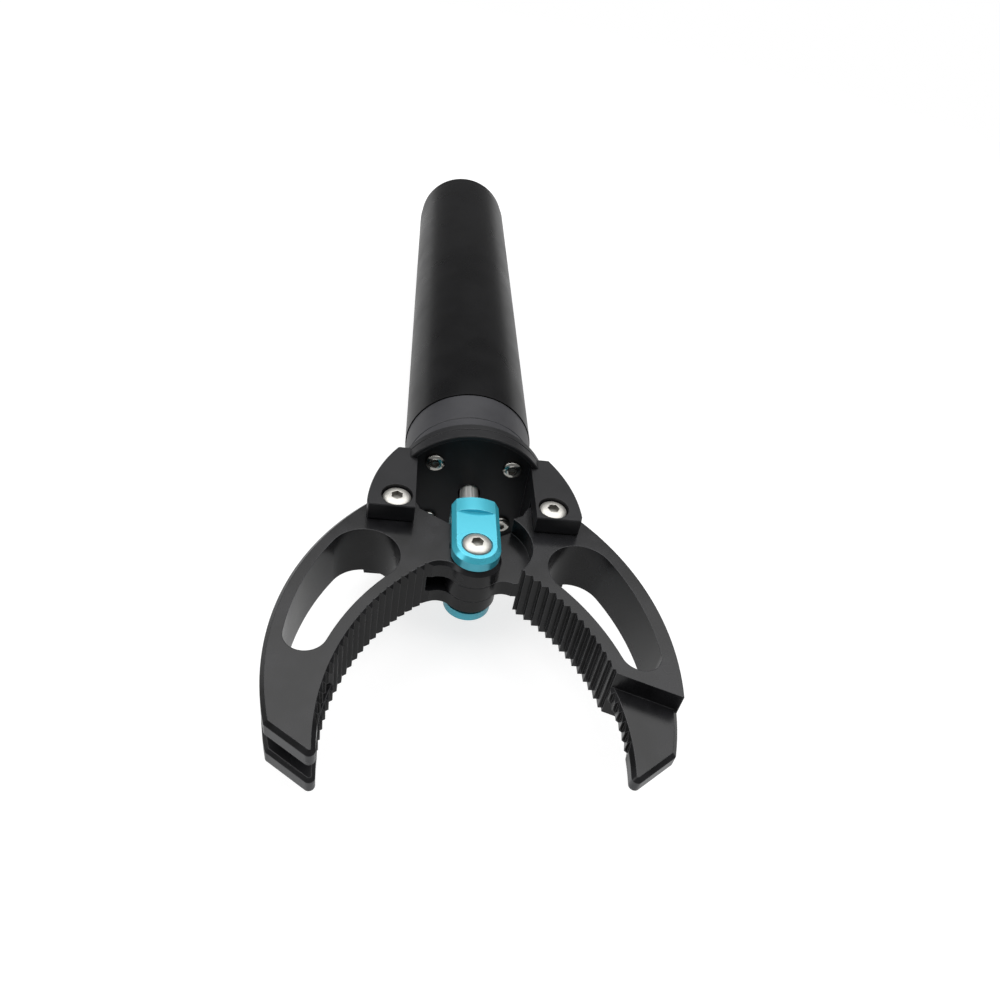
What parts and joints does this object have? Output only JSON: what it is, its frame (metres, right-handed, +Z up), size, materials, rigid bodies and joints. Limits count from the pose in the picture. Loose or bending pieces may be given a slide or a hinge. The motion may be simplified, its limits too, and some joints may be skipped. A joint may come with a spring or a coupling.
{
  "type": "underwater manipulator claw",
  "caption": "Two-jaw gripper on a sealed actuator tube: a rod and clevis pull the toothed jaws closed about their pivots, and the jaws pass through each other.",
  "frame": {"origin": "on the tube axis, at the middle of the bare body tube that a clamp holds", "axes": "+Y along the tube from the jaws to the cable gland, +Z up along the jaw pivots, towards the screw heads"},
  "size_m": [0.0974, 0.3255, 0.0458],
  "materials": {
    "black_anodised": "satin black anodised",
    "grey_anodised": "satin dark grey anodised",
    "blue_anodised": "bright blue anodised",
    "bare_aluminium": "turned",
    "stainless": "bright",
    "polished_rod": "polished",
    "motor_steel": "plated",
    "bronze_nut": "turned",
    "brass_standoff": "bright",
    "seal_rubber": "matt",
    "bearing_plastic": "matt",
    "dark_plastic": "matt",
    "board_laminate": "coated"
  },
  "bodies": {
    "housing": {"body_tube": "black_anodised", "front_end_cap": "black_anodised", "front_cap_o_rings": "seal_rubber", "rod_wiper": "seal_rubber", "rod_seal": "seal_rubber", "rod_bushing": "bearing_plastic", "rear_end_cap": "black_anodised", "rear_cap_o_rings": "seal_rubber", "cable_gland": "black_anodised", "gland_o_ring": "seal_rubber", "gland_nut": "stainless", "jaw_bracket": "black_anodised", "bracket_screws": "stainless", "pivot_screws": "stainless", "pivot_bushings": "bearing_plastic", "nut_guide": "bearing_plastic", "thrust_bearing": "stainless", "motor_mount": "bare_aluminium", "gearbox": "motor_steel", "gearbox_screws": "stainless", "motor_can": "motor_steel", "motor_end_bell": "dark_plastic", "control_board": "board_laminate", "board_standoffs": "brass_standoff", "board_components": "dark_plastic"},
    "rod": {"push_rod": "polished_rod", "nut_carrier": "bare_aluminium", "lead_nut": "bronze_nut", "clevis": "blue_anodised", "clevis_screw": "stainless", "clevis_sleeve": "bearing_plastic"},
    "drive_screw": {"lead_screw": "stainless", "shaft_coupling": "bare_aluminium", "coupling_set_screws": "stainless", "gearbox_shaft": "stainless"},
    "left_jaw": {"left_jaw": "grey_anodised"},
    "right_jaw": {"right_jaw": "grey_anodised"}
  },
  "joints": [
    {"name": "rod_slide", "type": "slide", "parent": "housing", "child": "rod", "axis": [0, 1, 0], "range_m": [0, 0.01325]},
    {"name": "left_jaw_swing", "type": "hinge", "parent": "housing", "child": "left_jaw", "pos_m": [-0.0215, -0.13215, 0], "axis": [0, 0, 1], "range_deg": [0, 30]},
    {"name": "right_jaw_swing", "type": "hinge", "parent": "housing", "child": "right_jaw", "pos_m": [0.0215, -0.13215, 0], "axis": [0, 0, -1], "range_deg": [0, 30]},
    {"name": "lead_screw_spin", "type": "hinge", "parent": "housing", "child": "drive_screw", "pos_m": [0, -0.03, 0], "axis": [0, 1, 0], "range_deg": [0, 1193]}
  ],
  "couplings": [
    {"joint": "left_jaw_swing", "follows": "rod_slide", "rad_per_m": 39.506},
    {"joint": "right_jaw_swing", "follows": "rod_slide", "rad_per_m": 39.506},
    {"joint": "lead_screw_spin", "follows": "rod_slide", "rad_per_m": 1570.8}
  ]
}
